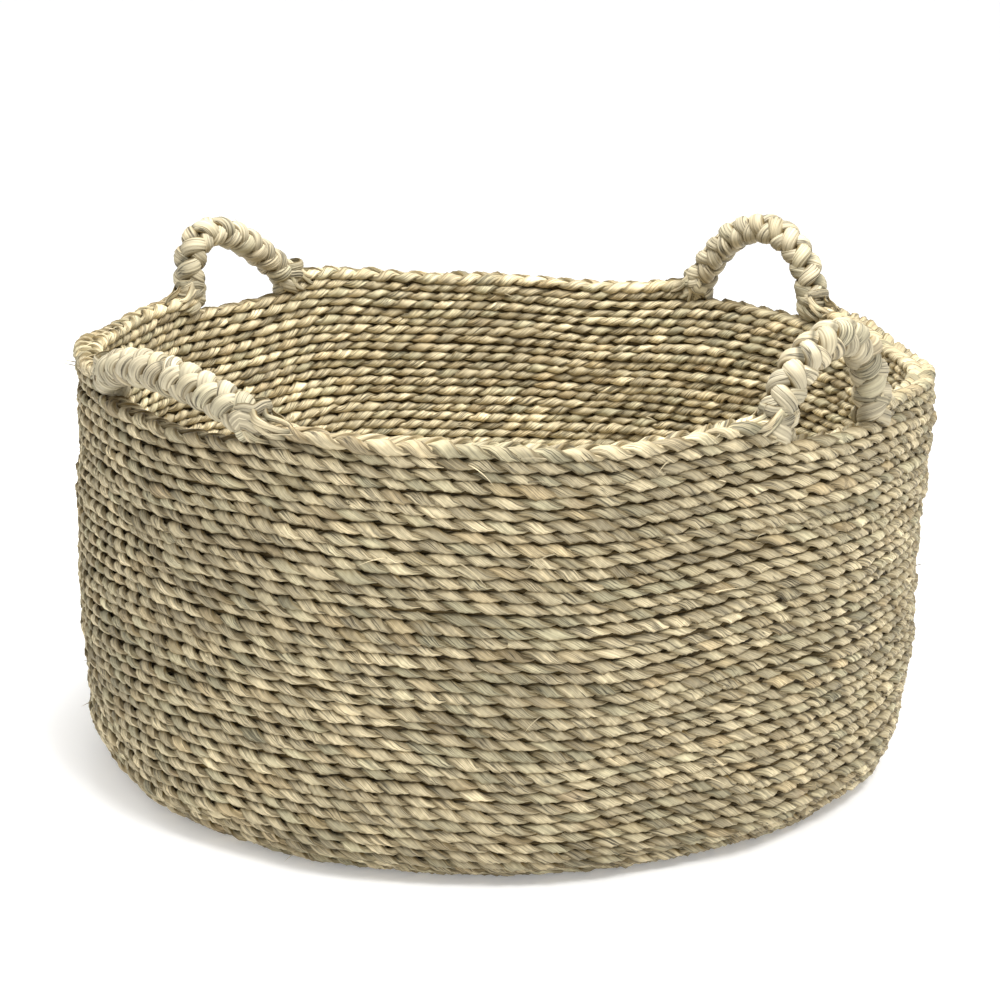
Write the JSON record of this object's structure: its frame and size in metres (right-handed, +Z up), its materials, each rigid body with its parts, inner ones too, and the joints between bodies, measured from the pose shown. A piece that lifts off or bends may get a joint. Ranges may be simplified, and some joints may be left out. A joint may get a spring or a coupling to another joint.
{
  "type": "storage basket",
  "caption": "Low round seagrass storage basket, coiled from a flat plait set on edge, with a rounded bottom corner, a wavy rim and braided loop handles",
  "frame": {"origin": "centre of the underside of the base, on the surface that the basket stands on", "axes": "+Z up; the four handles stand near +X, +Y, -X and -Y"},
  "size_m": [0.5985, 0.5976, 0.3496],
  "materials": {
    "plait": "dry seagrass, matt, with fine lengthwise fibres",
    "handle_core": "dry seagrass, matt",
    "handle_braid": "pale dry seagrass strips, slightly satin"
  },
  "bodies": {
    "basket": {"base_centre": "plait", "base_turns_1": "plait", "base_turns_2": "plait", "base_turns_3": "plait", "corner_course_01": "plait", "corner_course_02": "plait", "corner_course_03": "plait", "corner_course_04": "plait", "corner_course_05": "plait", "corner_course_06": "plait", "corner_course_07": "plait", "corner_course_08": "plait", "wall_course_01": "plait", "wall_course_02": "plait", "wall_course_03": "plait", "wall_course_04": "plait", "wall_course_05": "plait", "wall_course_06": "plait", "wall_course_07": "plait", "wall_course_08": "plait", "wall_course_09": "plait", "wall_course_10": "plait", "wall_course_11": "plait", "wall_course_12": "plait", "wall_course_13": "plait", "wall_course_14": "plait", "wall_course_15": "plait", "wall_course_16": "plait", "wall_course_17": "plait", "wall_course_18": "plait", "wall_course_19": "plait", "wall_course_20": "plait", "wall_course_21": "plait", "wall_course_22": "plait", "wall_course_23": "plait", "wall_course_24": "plait", "wall_course_25": "plait", "wall_course_26": "plait", "wall_course_27": "plait", "wall_course_28": "plait", "wall_course_29": "plait", "wall_course_30": "plait", "wall_course_31": "plait", "wall_course_32": "plait", "rim_lower_1": "plait", "rim_upper_1": "plait", "rim_lower_2": "plait", "rim_upper_2": "plait", "rim_lower_3": "plait", "rim_upper_3": "plait", "rim_lower_4": "plait", "rim_upper_4": "plait"},
    "handle_plus_x": {"handle_core_plus_x": "handle_core", "handle_braid_plus_x": "handle_braid"},
    "handle_plus_y": {"handle_core_plus_y": "handle_core", "handle_braid_plus_y": "handle_braid"},
    "handle_minus_x": {"handle_core_minus_x": "handle_core", "handle_braid_minus_x": "handle_braid"},
    "handle_minus_y": {"handle_core_minus_y": "handle_core", "handle_braid_minus_y": "handle_braid"}
  },
  "joints": [
    {"name": "bend_plus_x", "type": "hinge", "parent": "basket", "child": "handle_plus_x", "pos_m": [0.28558, -0.00359, 0.28082], "axis": [-0.0192, -0.9996, 0.0228], "range_deg": [-45, 75]},
    {"name": "bend_plus_y", "type": "hinge", "parent": "basket", "child": "handle_plus_y", "pos_m": [0.00235, 0.28359, 0.28324], "axis": [1, -0.0017, -0.0016], "range_deg": [-45, 75]},
    {"name": "bend_minus_x", "type": "hinge", "parent": "basket", "child": "handle_minus_x", "pos_m": [-0.28096, -0.01049, 0.29098], "axis": [-0.0436, 0.9989, 0.0185], "range_deg": [-45, 75]},
    {"name": "bend_minus_y", "type": "hinge", "parent": "basket", "child": "handle_minus_y", "pos_m": [-0.00445, -0.27604, 0.28736], "axis": [-0.9993, 0.0227, 0.0305], "range_deg": [-45, 75]}
  ]
}
